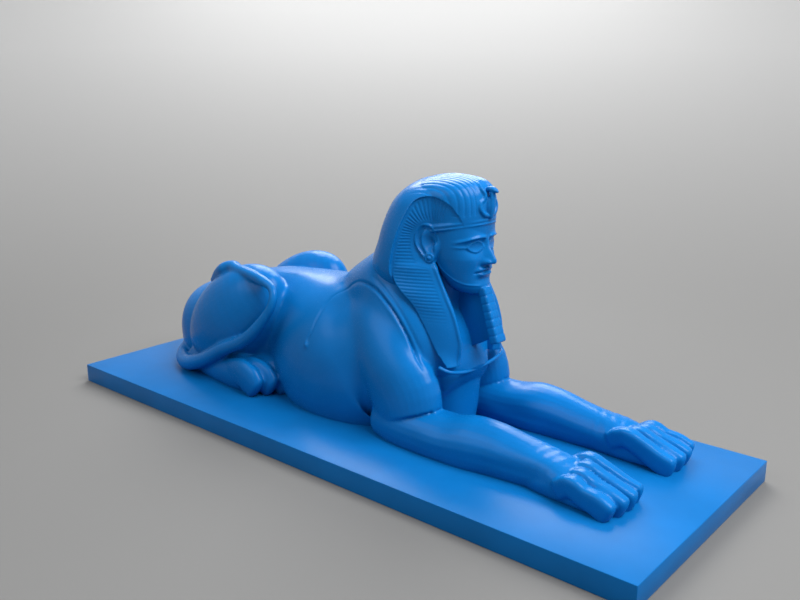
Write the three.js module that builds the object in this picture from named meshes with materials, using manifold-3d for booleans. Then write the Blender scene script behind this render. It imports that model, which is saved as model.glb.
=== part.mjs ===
// Sphinx statue: a couching sphinx in a pleated headcloth, lying on its own flat slab.
// Millimetres, +Z up, +X the way the sphinx faces. The slab rests on z = 0.
import * as THREE from "three";
import Module from "manifold-3d";
import { LoftGeometry } from "three/addons/geometries/LoftGeometry.js";
import { mergeVertices } from "three/addons/utils/BufferGeometryUtils.js";

const wasm = await Module();
wasm.setup();

// The slab
const plinthLength = 505;
const plinthWidth = 185;
const plinthHeight = 14.5;
const figureAside = 9; // the figure lies this far left of the slab's middle line

// The lion body. Heights here and below are above the slab's top.
const legAside = 38; // each foreleg's middle from the middle line
const wristX = 158;
const pawTipX = 219.5;
const toeSpacing = 9.2;
const toeHalfWidth = 4.9;
const haunchAt = [-131, 34, 50.5];
const haunchSize = [62.5, 26, 36]; // half length, half width, half height
const haunchTilt = 36; // degrees, front end up

// The head
const eyeLevel = 132.5;
const eyeAside = 8.6;
const faceHalfWidth = 21.5;
const faceCentreX = 66;
const bandLevel = 148;
const bandFrontX = 89.5;
const bandLow = 146.4; // the headband's lower edge at the brow
const bandFall = 0.185; // how far it falls for each millimetre back from the brow
const earAt = [57.2, 25, 133.7];
const beardRows = 7;

const up = new THREE.Vector3(0, 0, 1);
const radians = THREE.MathUtils.degToRad;

const v3 = (p) => new THREE.Vector3(p[0], p[1], p[2]);

// A bell-shaped swelling: 1 at zero, fading over the given spread.
function bell(distance, spread) {
  return Math.exp(-((distance / spread) ** 2));
}

// A smooth step from 0 to 1 between two levels.
function fade(value, from, to) {
  return THREE.MathUtils.smoothstep(value, from, to);
}

// The value at x on the straight line through rows of [x, value, ...], column by column.
function along(rows, x, column = 1) {
  const last = rows.length - 1;
  if (x <= rows[0][0]) return rows[0][column];
  if (x >= rows[last][0]) return rows[last][column];
  const i = rows.findIndex((row) => row[0] > x) - 1;
  const t = (x - rows[i][0]) / (rows[i + 1][0] - rows[i][0]);
  return THREE.MathUtils.lerp(rows[i][column], rows[i + 1][column], t);
}

// Turns a closed surface into a solid that can be joined and cut.
function solid(geometry) {
  const bare = new THREE.BufferGeometry();
  bare.setAttribute("position", geometry.attributes.position);
  bare.setIndex(geometry.index);
  const merged = mergeVertices(bare, 1e-3);
  const index = merged.index.array;
  const kept = [];
  for (let i = 0; i < index.length; i += 3) {
    const [a, b, c] = [index[i], index[i + 1], index[i + 2]];
    if (a !== b && b !== c && c !== a) kept.push(a, b, c);
  }
  return new wasm.Manifold(
    new wasm.Mesh({
      numProp: 3,
      vertProperties: new Float32Array(merged.attributes.position.array),
      triVerts: new Uint32Array(kept),
    }),
  );
}

function join(solids) {
  return solids.reduce((whole, part) => whole.add(part));
}

// A closed skin drawn over a row of rings, each ring the same number of [x, y, z] points,
// turned where needed so that the skin faces outward.
function skin(rings) {
  const sections = rings.map((ring) => ring.map(v3));
  const sum = (ring) => ring.reduce((total, p) => total.add(p), new THREE.Vector3());
  const middles = sections.map((ring) => sum(ring).divideScalar(ring.length));
  let turn = 0;
  sections.slice(0, -1).forEach((ring, i) => {
    const ahead = middles[i + 1].clone().sub(middles[i]);
    const facing = new THREE.Vector3();
    ring.forEach((p, j) => {
      const q = ring[(j + 1) % ring.length];
      facing.add(p.clone().sub(middles[i]).cross(q.clone().sub(middles[i])));
    });
    turn += facing.dot(ahead);
  });
  if (turn < 0) sections.forEach((ring) => ring.reverse());
  return solid(new LoftGeometry(sections, { capStart: true, capEnd: true }));
}

// Rounded cross-section: square 2 is an ellipse, more is boxier, less is leaner.
function roundPoint(angle, square) {
  const c = Math.cos(angle);
  const s = Math.sin(angle);
  const power = 2 / square;
  return [Math.sign(c) * Math.abs(c) ** power, Math.sign(s) * Math.abs(s) ** power];
}

// A limb: rounded sections carried along a smooth path through stations of
// [x, y, z, half width, half height], closed by rounded ends of the given lengths; a length
// of 0 leaves that end flat, for an end buried in the body.
function carry(
  stations,
  { around = 14, steps = 12, square = 2, ends = [6, 6], side = null, turn = 0.5 } = {},
) {
  const path = new THREE.CatmullRomCurve3(stations.map(v3));
  const girth = new THREE.CatmullRomCurve3(stations.map((s) => new THREE.Vector3(s[3], s[4], 0)));
  const rings = [];
  const addRing = (t, scale, shift) => {
    const tangent = path.getTangent(t);
    const centre = path.getPoint(t).addScaledVector(tangent, shift);
    const size = girth.getPoint(t);
    const across = side ? v3(side) : new THREE.Vector3().crossVectors(up, tangent);
    across.addScaledVector(tangent, -across.dot(tangent)).normalize();
    const above = new THREE.Vector3().crossVectors(tangent, across);
    const ring = [];
    for (let j = 0; j < around; j++) {
      const [c, s] = roundPoint((2 * Math.PI * (j + turn)) / around, square);
      const p = centre.clone();
      p.addScaledVector(across, c * size.x * scale);
      p.addScaledVector(above, s * size.y * scale);
      ring.push([p.x, p.y, p.z]);
    }
    rings.push(ring);
  };
  const startTurns = ends[0] > 0 ? [64, 30].map(radians) : [];
  const endTurns = ends[1] > 0 ? [30, 64].map(radians) : [];
  startTurns.forEach((a) => addRing(0, Math.cos(a), -ends[0] * Math.sin(a)));
  for (let i = 0; i <= steps; i++) addRing(i / steps, 1, 0);
  endTurns.forEach((a) => addRing(1, Math.cos(a), ends[1] * Math.sin(a)));
  return skin(rings);
}

// A ball stretched to three half sizes, tilted front end up, then placed.
function egg(at, size, tilt = 0, around = 18, rows = 12) {
  const geometry = new THREE.SphereGeometry(1, around, rows);
  geometry.rotateX(Math.PI / 2);
  geometry.scale(size[0], size[1], size[2]);
  geometry.rotateY(-radians(tilt));
  geometry.translate(at[0], at[1], at[2]);
  return solid(geometry);
}

// Makes the same form on the right (-1) and on the left (+1).
function pair(make) {
  return join([-1, 1].map(make));
}

// Body: a long barrel, its rows [x, top, bottom, half width].
const bodyRows = [
  [-221, 36, 8, 14],
  [-214, 50, -6, 28],
  [-202, 60, -14, 38],
  [-185, 68, -16, 44],
  [-150, 79, -18, 45],
  [-112, 88, -18, 42],
  [-88, 91, -18, 39],
  [-64, 93, -22, 49],
  [-42, 94, -30, 55],
  [-20, 96, -34, 57],
  [0, 97, -22, 56],
  [12, 96, -10, 53],
  [34, 90, -6, 45],
  [54, 76, -4, 33],
  [66, 56, 0, 24],
];
const body = carry(
  bodyRows.map(([x, top, bottom, half]) => [x, 0, (top + bottom) / 2, half, (top - bottom) / 2]),
  { around: 16, steps: 16, square: 2.25, ends: [5, 5], side: [0, 1, 0] },
);

// One level ring, rounded behind its widest line and again in front of it.
function levelRing(z, back, wide, half, front, around, square, rear = 2) {
  const ring = [];
  for (let j = 0; j < around; j++) {
    const angle = (2 * Math.PI * j) / around;
    const forward = Math.cos(angle) > 0;
    const [c, s] = roundPoint(angle, forward ? square : rear);
    ring.push([wide + (forward ? front - wide : wide - back) * c, half * s, z]);
  }
  return ring;
}

// Mane: a cape over the shoulders, rising to the nape and hanging to a point in front.
// Rows [z, back x, widest x, half width, front x].
const maneRows = [
  [31, 50, 66, 3, 76.5],
  [35.5, 34, 62, 13, 78],
  [40, 14, 57, 25, 79],
  [45, 0, 50, 34, 79.5],
  [52, -14, 42, 40, 80],
  [61, -20, 38, 43, 79],
  [70, -24, 36, 44, 76.5],
  [79, -26, 34, 44, 72],
  [88, -36, 31, 43, 66],
  [96, -37, 27, 41, 60],
  [103, -29, 24, 39, 52],
  [109, -20, 21, 36.5, 46],
  [115, -11, 18, 31, 38],
  [119, -4, 16, 24, 32],
];
const mane = skin(
  maneRows.map(([z, back, wide, half, front]) => levelRing(z, back, wide, half, front, 16, 2.4, 1.5)),
);

// Haunches: one big egg of thigh on each side.
const haunches = pair((s) =>
  egg([haunchAt[0], s * haunchAt[1], haunchAt[2]], haunchSize, haunchTilt, 14, 8),
);

// Hind feet lie forward along the slab under the thighs. Three blunt toes show on each;
// the inner one is sunk in the flank.
const hindFeet = pair((s) =>
  join([
    carry(
      [
        [-178, s * 42, 8, 8, 10],
        [-148, s * 45, 10, 11, 13],
        [-120, s * 47, 11, 12.5, 16],
        [-98, s * 48, 12, 13, 17],
      ],
      { around: 8, steps: 2, ends: [6, 6] },
    ),
    ...[0, 1, 2].map((i) =>
      carry(
        [
          [-112 + 3 * i, s * (54 - 7 * i), 12, 5.5, 12],
          [-94 + 5 * i, s * (56 - 8.4 * i), 14, 6.8, 13],
          [-84 + 6 * i, s * (56 - 8.8 * i), 10, 6.2, 11],
        ],
        { around: 6, steps: 2, turn: 0, ends: [0, 4.5] },
      ),
    ),
  ]),
);

// Tail: round the right rear corner, forward under the thigh, up and back over it to a tuft.
const tail = carry(
  [
    [-200, 2, 20, 6, 6],
    [-207, -20, 13, 6, 6],
    [-199, -38, 9, 6.2, 6.2],
    [-186, -49, 7, 6.6, 6.6],
    [-168, -56, 9, 6.4, 6.4],
    [-144, -58, 18, 6, 6],
    [-121, -58, 31, 5.6, 5.6],
    [-98, -58, 42, 5.2, 5.2],
    [-83, -57, 53, 5, 5],
    [-71, -56, 66, 4.8, 4.8],
    [-64, -54, 79, 4.6, 4.6],
    [-68, -51, 88, 4.4, 4.4],
    [-81, -49, 91, 4.2, 4.2],
    [-100, -45, 92, 4, 4],
    [-120, -40, 92, 4.4, 4.4],
    [-131, -36, 92, 6, 5],
    [-140, -35, 89, 8, 6],
    [-150, -34, 84, 6, 5],
    [-160, -33, 77, 3, 3],
  ],
  { around: 7, steps: 26, ends: [2, 4] },
);

// Arms: a broad upper arm down to the elbow, then the foreleg along the slab.
const arms = pair((s) =>
  join([
    carry(
      [
        [8, s * 22, 84, 14, 20],
        [14, s * 29, 76, 16, 25],
        [27, s * 34.5, 63, 18, 26],
        [39, s * 38, 48, 18.5, 26],
        [49, s * 39.5, 33, 17, 27],
        [53, s * 40, 18, 16, 24],
      ],
      { around: 12, steps: 7, ends: [10, 0], side: [0, 1, 0] },
    ),
    carry(
      [
        [34, s * 39, 10, 14, 14],
        [52, s * 39.5, 11, 17, 19],
        [74, s * 39.5, 10, 18, 18.5],
        [98, s * 39.5, 10, 18, 18.5],
        [118, s * 38.5, 11, 16.5, 18],
        [140, s * 37, 10, 15, 15],
        [wristX, s * 37, 9.5, 15, 13.5],
        [174, s * 38, 9, 16.5, 13.5],
        [188, s * 38, 8, 17, 12.5],
      ],
      { around: 10, steps: 9, square: 2.2, ends: [10, 0] },
    ),
  ]),
);

// Paws: four long toes each, sloping from the knuckle to a blunt tip; 0 is the innermost.
const toes = pair((s) =>
  join(
    [0, 1, 2, 3].map((i) => {
      const aside = legAside + toeSpacing * (i - 1.45);
      const tip = pawTipX - 1.1 * (i - 1.2) ** 2;
      const knuckle = 15.5 - 0.8 * i;
      return carry(
        [
          [tip - 48, s * (aside - 0.6 * (i - 1.5)), knuckle - 4, toeHalfWidth - 1, 6],
          [tip - 36, s * aside, knuckle + 0.8, toeHalfWidth, 6.6],
          [tip - 15, s * (aside + 0.5 * (i - 1.5)), 8.2, toeHalfWidth, 7.2],
          [tip - 5, s * (aside + 0.8 * (i - 1.5)), 4.8, toeHalfWidth - 0.2, 7.2],
        ],
        { around: 7, steps: 3, turn: 0, ends: [0, 5] },
      );
    }),
  ),
);

// Headcloth, one ring per level: [z, back x, widest x, half width, front x].
const clothRows = [
  [88, 14, 32, 26, 52],
  [101, 6, 34, 33, 54],
  [110, 1.5, 36, 38.5, 57],
  [118, 1.5, 38, 40.5, 58],
  [130, 6, 42, 40, 58],
  [140, 10, 45, 38.5, 60],
  [149, 14, 48, 36, 66],
  [156, 18, 50, 33.5, 72],
  [161, 22, 52, 31, 76],
  [166, 28, 54, 27, 78],
  [170, 34, 56, 22, 78],
  [173.5, 42, 58, 15, 76],
  [176, 50, 60, 7, 70],
];
const cloth = skin(
  clothRows.map(([z, back, wide, half, front]) => levelRing(z, back, wide, half, front, 20, 1.7)),
);

// Crown of the head under the cloth, in front of the side folds.
const crownRows = [
  [138, 30, 60, 23, bandFrontX - 2],
  [bandLevel, 24, 60, 25, bandFrontX - 1],
  [156, 24, 58, 26, bandFrontX - 0.5],
  [162, 26, 58, 26, bandFrontX - 1],
  [167, 30, 58, 25, bandFrontX - 2.5],
  [171, 35, 59, 22, bandFrontX - 5],
  [174, 41, 60, 17, bandFrontX - 9],
  [176, 48, 60, 10, bandFrontX - 15],
  [177, 54, 60, 5, bandFrontX - 22],
];
const crown = skin(
  crownRows.map(([z, back, wide, half, front]) => levelRing(z, back, wide, half, front, 16, 2.1)),
);

// The side folds open forward: a pit round each ear inside the fold's edge [x, z], its floor
// 1.5 mm under the crown's side in front and level with the temple behind.
const foldEdge = [
  [38.2, 106],
  [37.7, 118],
  [39.7, 130],
  [42.6, 142],
  [46.8, 154.3],
  [49.6, 160.6],
  [54.6, 164],
  [61.1, 164.6],
  [66.8, 163.3],
  [72.3, 160.6],
  [78.6, 152.6],
  [81, 146],
  [98, 138],
  [104, 98],
  [62, 92],
];
function pitFloor(x, z) {
  if (z < 147) return 21;
  const wide = along(crownRows, z, 2);
  const half = along(crownRows, z, 3);
  const front = along(crownRows, z, 4);
  const k = THREE.MathUtils.clamp((x - wide) / (front - wide), 0, 0.99);
  const inFront = half * (1 - k ** 2.1) ** (1 / 2.1) - 1.5;
  return THREE.MathUtils.lerp(inFront, 21, fade(58 - x, 0, 8));
}
const pits = pair((s) =>
  skin(
    [
      foldEdge.map(([x, z]) => [x, s * pitFloor(x, z), z]),
      foldEdge.map(([x, z]) => [62 + (x - 62) * 1.1, s * 60, 134 + (z - 134) * 1.1]),
    ],
  ),
);

// Face: level rings swelling into brow, nose, lips and chin.
// Rows [z, middle x, half width, front x].
const faceRows = [
  [98.5, 78, 4, 82],
  [100.5, 76, 9, 84.5],
  [104, 73, 13, 85.5],
  [109, 70, 16, 85.8],
  [116, 66, 18.6, 86.6],
  [124, faceCentreX, 20.6, 86.8],
  [132, faceCentreX, faceHalfWidth, 86.4],
  [140, faceCentreX, 22, 87.4],
  [150, faceCentreX, 22, 87.4],
];
const faceLevels = [
  98.5, 100.5, 103.5, 107, 110.6, 113.2, 115, 116.8, 118.8, 120.4, 122, 125.5, 129.5, 131.5, 133.2, 135.4,
  137.2, 139.4, 150,
];
const faceColumns = [0, 0.09, 0.18, 0.27, 0.36, 0.45, 0.54, 0.66, 0.79, 0.9, 0.98];
function faceRelief(side, z) {
  const brow = 1.5 * bell(z - eyeLevel - 6 + 0.012 * (side - 9) ** 2, 1.5) * fade(-side, -20, -15);
  const socket = -2.4 * bell(side - eyeAside, 5.6) * bell(z - eyeLevel - 0.6, 3.4);
  const ball = 2.1 * bell(side - eyeAside, 3.9) * bell(z - eyeLevel, 2.1);
  const rise = fade(eyeLevel - z, -5, 9.5);
  const under = fade(z, eyeLevel - 13, eyeLevel - 11);
  const nose = (1.2 + 6.2 * rise) * under * fade(eyeLevel - z, -8, -3) * bell(side, 1.9 + 2.1 * rise);
  const wings = 2 * bell(side - 3.6, 1.5) * bell(z - eyeLevel + 10.4, 1.7);
  const lips = (1.7 * bell(z - 116.9, 1.3) + 1.6 * bell(z - 113.3, 1.5)) * fade(-side, -7.6, -4.6);
  const chin = 1.6 * bell(side, 6.5) * bell(z - 105.5, 3.4);
  const cheek = bell(side - 12, 5) * bell(z - 123, 6);
  return brow + socket + ball + nose + wings + lips + chin + cheek;
}
function faceRing(z) {
  const middle = along(faceRows, z, 1);
  const half = along(faceRows, z, 2);
  const front = along(faceRows, z, 3);
  const right = faceColumns.map((k) => {
    const reach = (front - middle) * (1 - k ** 2.3) ** (1 / 2.3);
    return [middle + reach + faceRelief(half * k, z), -half * k, z];
  });
  right.push([middle - 4, -half, z], [middle - 12, -half * 0.7, z]);
  const left = right.slice(1).map(([x, y]) => [x, -y, z]);
  return [...right, ...left.reverse()];
}
const face = skin(faceLevels.map(faceRing));

// Neck, filling the space between the lappets.
const neck = carry(
  [
    [50, 0, 42, 26, 20],
    [50, 0, 66, 24, 18],
    [50, 0, 90, 20, 17],
    [52, 0, 112, 18, 18],
    [56, 0, 128, 18, 18],
  ],
  { around: 10, steps: 3, ends: [0, 0], side: [0, 1, 0] },
);

// Headband across the brow and round the temples, falling toward the ears.
const band = skin(
  [
    [bandLow, 28, 60, 23, bandFrontX - 2],
    [bandLow + 0.4, 28, 60, 24.4, bandFrontX - 0.5],
    [bandLow + 4.2, 28, 60, 24.6, bandFrontX - 0.2],
    [bandLow + 5.2, 28, 60, 23.5, bandFrontX - 1.5],
  ].map(([z, back, wide, half, front]) =>
    levelRing(z, back, wide, half, front, 14, 2.1).map(([x, y, level]) => [
      x,
      y,
      level + bandFall * (x - bandFrontX),
    ]),
  ),
);

// Ears: a hollowed shell, its rolled rim from the temple round to the lobe, and a round stud.
const earRim = [
  [5.4, -2],
  [6.4, 5],
  [4, 11],
  [-2.2, 12],
  [-7, 8.8],
  [-6.6, 1.5],
  [-4, -5],
  [-0.4, -11.2],
  [2.6, -12],
  [4, -8.5],
];
const ears = pair((s) =>
  join([
    carry(
      earRim.map(([x, z]) => [earAt[0] + x, s * (earAt[1] - 0.4 * x), earAt[2] + z, 1.8, 1.8]),
      { around: 5, steps: 8, ends: [0, 0], side: [0, 1, 0] },
    ),
    egg([earAt[0] + 0.4, s * (earAt[1] - 4), earAt[2] + 1.4], [7.2, 4.6, 11.4], -6, 7, 4),
    egg([earAt[0] + 2.2, s * (earAt[1] + 0.6), earAt[2] - 9.6], [2.6, 2, 2.8], 0, 6, 4),
  ]),
);

// Lappets: one sheet of cloth on each side, from inside the side fold down to the chest,
// rows of [z, outer x, outer y, inner x, inner y].
const lappetRows = [
  [160, 50, 29.6, 61.5, 24.5],
  [154, 47, 32.2, 61, 24.4],
  [142, 42.8, 35.6, 57, 22.4],
  [130, 39.8, 37.2, 57, 22.5],
  [118, 38, 37.7, 64, 24],
  [107, 40.2, 38, 69.6, 24],
  [94, 53, 35.6, 77, 24],
  [79, 62.8, 33.8, 83.2, 23.7],
  [68, 69.2, 33, 85, 23],
  [54.5, 80, 32, 83.3, 22],
];
const lappets = pair((s) =>
  skin(
    lappetRows.map(([z, outX, outY, inX, inY]) => {
      const bow = 1.5 * fade(122 - z, 0, 5);
      return [
        [outX, s * outY, z],
        [(outX + inX) / 2 + bow, s * ((outY + inY) / 2 + 0.6 * bow), z],
        [inX, s * inY, z],
        [inX - 2, s * (inY - 3.5), z],
        [inX - 10, s * 18, z],
        [outX - 8, s * 18, z],
      ];
    }),
  ),
);

// The chest under the cape, between the forelegs.
const chest = egg([44, 0, 30], [28, 24, 44], 0, 10, 7);

// Collar: a raised cord hanging across the breast.
const collar = carry(
  [
    [76, -34, 54, 1.8, 1.5],
    [80.6, -31, 51.6, 1.8, 1.5],
    [83, -25, 50, 1.8, 1.5],
    [81.4, 0, 46.2, 1.8, 1.5],
    [83, 25, 50, 1.8, 1.5],
    [80.6, 31, 51.6, 1.8, 1.5],
    [76, 34, 54, 1.8, 1.5],
  ],
  { around: 5, steps: 7, ends: [0, 0] },
);

// Beard: a tapering block of stacked rows, joined to the throat by a thin wall.
const beardTop = [86, 104];
const beardFoot = [98.4, 68];
const beard = join(
  Array.from({ length: beardRows }, (_, i) =>
    skin(
      [0, 0.12, 0.88, 1].map((k) => {
        const t = (i + k) / beardRows;
        const groove = k === 0 || k === 1 ? 0.6 : 0;
        const deep = 2.6 + 0.6 * t - groove;
        const half = 4.2 + 1.2 * t - groove;
        const x = THREE.MathUtils.lerp(beardTop[0], beardFoot[0], t);
        const z = THREE.MathUtils.lerp(beardTop[1], beardFoot[1], t);
        return [
          [x + deep, half, z + 0.35 * deep],
          [x + deep, -half, z + 0.35 * deep],
          [x - deep, -half, z - 0.35 * deep],
          [x - deep, half, z - 0.35 * deep],
        ];
      }),
    ),
  ),
);
const beardWall = skin(
  [-2.4, 2.4].map((y) => [
    [58, y, 108],
    [84, y, 108],
    [95.5, y, 71],
    [66, y, 55.5],
  ]),
);

// Cobra on the brow: a spread hood, a coiled body and a small head.
const cobra = join([
  egg([bandFrontX - 1, 0, 160], [3.2, 4.2, 8], -6, 8, 5),
  egg([bandFrontX + 1.5, 0, 169.5], [4.4, 2.4, 2.6], 8, 7, 4),
  carry(
    [
      [bandFrontX - 1, -2, 152, 1.8, 1.8],
      [bandFrontX - 1.5, -7, 155, 1.8, 1.8],
      [bandFrontX - 3, -9, 160, 1.8, 1.8],
      [bandFrontX - 4, -6, 165, 1.8, 1.8],
      [bandFrontX - 4.5, 0, 169, 1.8, 1.8],
      [bandFrontX - 4, 6, 165, 1.8, 1.8],
      [bandFrontX - 3, 9, 160, 1.8, 1.8],
      [bandFrontX - 1.5, 7, 155, 1.8, 1.8],
      [bandFrontX - 1, 2, 152, 1.8, 1.8],
    ],
    { around: 4, steps: 9, ends: [0, 0] },
  ),
]);

const aboveSlab = new THREE.BoxGeometry(800, 400, 300);
aboveSlab.translate(0, 0, 150);
const head = join([cloth, crown]).subtract(pits);
const figureSolid = join([
  head,
  body,
  mane,
  haunches,
  hindFeet,
  tail,
  arms,
  toes,
  neck,
  face,
  band,
  ears,
  lappets,
  chest,
  collar,
  beard,
  beardWall,
  cobra,
]).intersect(solid(aboveSlab));

function geometryOf(manifold) {
  const mesh = manifold.getMesh();
  const geometry = new THREE.BufferGeometry();
  geometry.setAttribute("position", new THREE.BufferAttribute(mesh.vertProperties, 3));
  geometry.setIndex(new THREE.BufferAttribute(mesh.triVerts, 1));
  geometry.computeVertexNormals();
  return geometry;
}

const figureBlue = new THREE.MeshStandardMaterial({ color: 0x0a64be, roughness: 0.42, metalness: 0 });
const slabBlue = new THREE.MeshStandardMaterial({ color: 0x0a5fae, roughness: 0.5, metalness: 0 });

const sphinx = new THREE.Mesh(geometryOf(figureSolid), figureBlue);
sphinx.name = "sphinx";
sphinx.position.set(0, figureAside, plinthHeight);

const slab = new THREE.BoxGeometry(plinthLength, plinthWidth, plinthHeight);
slab.translate(0, 0, plinthHeight / 2);
const plinth = new THREE.Mesh(slab, slabBlue);
plinth.name = "plinth";

const statue = new THREE.Group();
statue.name = "sphinx_statue";
statue.add(sphinx, plinth);

export default statue;
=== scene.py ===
"""Sphinx statue: a couching sphinx in a pleated headcloth, in satin blue plastic on its slab.

Shapes are worked out in millimetres in the figure's own frame and put into the row's frame,
in metres, as each mesh is made: x runs the way the sphinx faces, y is the distance from the
figure's middle plane, left positive, and z is the height above the slab's top.
"""

import bpy
import numpy as np
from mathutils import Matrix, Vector


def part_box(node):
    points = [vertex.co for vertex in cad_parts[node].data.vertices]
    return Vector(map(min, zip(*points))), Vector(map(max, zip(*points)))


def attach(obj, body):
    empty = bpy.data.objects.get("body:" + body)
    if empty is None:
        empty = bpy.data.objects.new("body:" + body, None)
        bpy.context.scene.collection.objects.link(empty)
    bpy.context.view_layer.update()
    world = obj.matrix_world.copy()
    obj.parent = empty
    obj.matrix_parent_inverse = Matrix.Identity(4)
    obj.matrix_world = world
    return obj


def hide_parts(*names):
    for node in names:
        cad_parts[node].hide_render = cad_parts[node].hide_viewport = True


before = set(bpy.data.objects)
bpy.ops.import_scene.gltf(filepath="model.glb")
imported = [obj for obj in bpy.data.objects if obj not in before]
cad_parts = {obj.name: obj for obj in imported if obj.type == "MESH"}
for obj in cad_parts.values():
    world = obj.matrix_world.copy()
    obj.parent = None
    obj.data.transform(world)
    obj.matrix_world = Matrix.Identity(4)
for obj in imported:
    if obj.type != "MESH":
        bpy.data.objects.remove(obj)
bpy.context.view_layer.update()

MM = 0.001

# The slab's corners and the figure's place on it, in millimetres.
SLAB_LOW, SLAB_HIGH = [np.array(corner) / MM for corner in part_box("plinth")]
FIGURE_ASIDE = 9.0
FIGURE_ORIGIN = np.array([0.0, FIGURE_ASIDE, SLAB_HIGH[2]])
FOOT_BURIED = 3.0  # how far the figure's base is sunk before it is cut off at the slab

# The limbs
LEG_ASIDE = 38.0
WRIST_X = 158.0
PAW_TIP_X = 219.0
TOE_SPACING = 9.4
TOE_HALF_WIDTH = 4.8

# The head
EYE_LEVEL = 132.5
EYE_ASIDE = 8.8
FACE_HALF_WIDTH = 21.5
FACE_MIDDLE_X = 66.0
BAND_LEVEL = 148.0
BAND_FRONT_X = 89.5
BAND_LOW = 146.6  # the headband's lower edge at the brow
BAND_FALL = 0.185
EAR_AT = (57.2, 25.0, 133.7)
FAN_AT = (60.5, 137.0)  # where the pleats above the ear would meet
BEARD_ROWS = 7
STRIPE_PITCH = 2.9
PLEAT_PITCH = 2.2

# The face's levels
UPPER_LIP = 117.3
LOWER_LIP = 113.3
LIP_PARTING = 115.4
CHIN_LEVEL = 105.2
CHIN_DIP = 110.0
CHEEK_LEVEL = 123.5
NOSE_DROP = 9.6  # from the eyes down to the nose's tip

# Mesh fineness: voxels in millimetres, rounds of smoothing, and a piece's most triangles
FLESH_VOXEL = 1.05
HEAD_VOXEL = 0.5
BROAD_ROUNDS = 110
VALLEY_ROUNDS = 50
FACE_ROWS_MADE, FACE_COLUMNS_MADE = ((150, 141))
SOFTEN_STEP = 0.5  # the share of the way to its neighbours' mean that a point moves
STEP_BACK = 0.53  # the share that it moves back, where nothing may shrink
PIECE_TRIANGLES = 190_000

# Looks
FIGURE_BLUE = (0.0015, 0.124, 0.390)
SLAB_BLUE = (0.002, 0.110, 0.340)
# The floor's painted light: dark at its foot, paler up the bowl's wall, standing in for the light
# on the backdrop
FLOOR_PAINTED_DARK = (0.118, 0.118, 0.116, 1)
FLOOR_PAINTED_MIDDLE = (0.235, 0.235, 0.234, 1)
FLOOR_PAINTED_PALE = (0.38, 0.38, 0.38, 1)

# The floor, in millimetres: flat, then a bowl, then a rim that goes straight down
FLOOR_FLAT = 350
FLOOR_BOWL = 4650
FLOOR_SLOPE = 0.733
FLOOR_EASE = 700
FLOOR_RIM = 5040.0
FLOOR_RIM_TOP = 3330
FLOOR_UNDERSIDE = -60.0

# The lamps: place and size in metres, then watts
LAMP_AIM = (0, 0, 0.05)
LAMPS = {
    "key": ((0.80, 0.05, 1.15), 0.9, 30),
    "overhead": ((-0.60, 0.75, 1.00), 1.0, 24),
    "fill": ((-0.5, -1.2, 0.8), 1.2, 10),
}

# The camera
FOCAL_LENGTH = 39.32
CAMERA_AT = (0.40927, -0.45415, 0.26043)
CAMERA_TOWARDS = (-0.628604, 0.733340, -0.258979)


# ---- curves and profiles


def bell(distance, spread):
    """1 at zero, falling off as the exponential of minus the squared distance over spread."""
    return np.exp(-((distance / spread) ** 2))


def fade(value, low, high):
    """0 at low and 1 at high, by the cubic 3t^2 - 2t^3 of the share t of the way between."""
    t = np.clip((value - low) / (high - low), 0.0, 1.0)
    return t * t * (3.0 - 2.0 * t)


def through(rows, count):
    """count points on the smooth curve through the rows: on each stretch every value follows
    the cubic whose slope at a row is half the step from the row before to the row after."""
    rows = np.asarray(rows, float)
    t = np.linspace(0.0, len(rows) - 1.0, count)
    i = np.minimum(t.astype(int), len(rows) - 2)
    u = (t - i)[:, None]
    before = rows[np.maximum(i - 1, 0)]
    start = rows[i]
    end = rows[i + 1]
    after = rows[np.minimum(i + 2, len(rows) - 1)]
    slope_start = (end - before) / 2
    slope_end = (after - start) / 2
    bend = 3 * (end - start) - 2 * slope_start - slope_end
    twist = 2 * (start - end) + slope_start + slope_end
    return start + u * (slope_start + u * (bend + u * twist))


def rounded(angles, square):
    """The unit outline |c|^(2/square), |s|^(2/square) with the signs of cosine and sine:
    square 2 is a circle, more is boxier, less is leaner."""
    c = np.cos(angles)
    s = np.sin(angles)
    power = 2.0 / square
    return np.sign(c) * np.abs(c) ** power, np.sign(s) * np.abs(s) ** power


# ---- closed forms
# A form is (points, triangles): an array of places and an array of three point numbers each.


def facing_out(points, triangles):
    """Turns every triangle round when the signed volume, a sixth of the sum of the triple
    products of the corners, is below zero."""
    a, b, c = (points[triangles[:, k]] for k in range(3))
    volume = np.einsum("ij,ij->i", a, np.cross(b, c)).sum()
    return (points, triangles[:, ::-1]) if volume < 0 else (points, triangles)


def skin(rings):
    """A closed surface over a row of rings, each an array of places round the form: every cell
    between two rings is two triangles, and a fan to the ring's middle closes each end."""
    rings = np.asarray(rings, float)
    rows, around = rings.shape[:2]
    points = np.vstack([rings.reshape(-1, 3), rings[0].mean(0), rings[-1].mean(0)])
    i, j = np.meshgrid(np.arange(rows - 1), np.arange(around), indexing="ij")
    here = (i * around + j).ravel()
    beside = (i * around + (j + 1) % around).ravel()
    cells = np.vstack([
        np.column_stack([here, beside, beside + around]),
        np.column_stack([here, beside + around, here + around]),
    ])
    j = np.arange(around)
    last = (rows - 1) * around
    first_fan = np.column_stack([np.full(around, rows * around), (j + 1) % around, j])
    last_fan = np.column_stack([
        np.full(around, rows * around + 1), last + j, last + (j + 1) % around,
    ])
    return facing_out(points, np.vstack([cells, first_fan, last_fan]))


def joined(*forms):
    """One form of several, each keeping its own points."""
    points = []
    triangles = []
    count = 0
    for form_points, form_triangles in forms:
        points.append(form_points)
        triangles.append(form_triangles + count)
        count += len(form_points)
    return np.vstack(points), np.vstack(triangles)


def pair(make):
    """The same form on the right (side -1) and on the left (side +1)."""
    return joined(make(-1), make(1))


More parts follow.
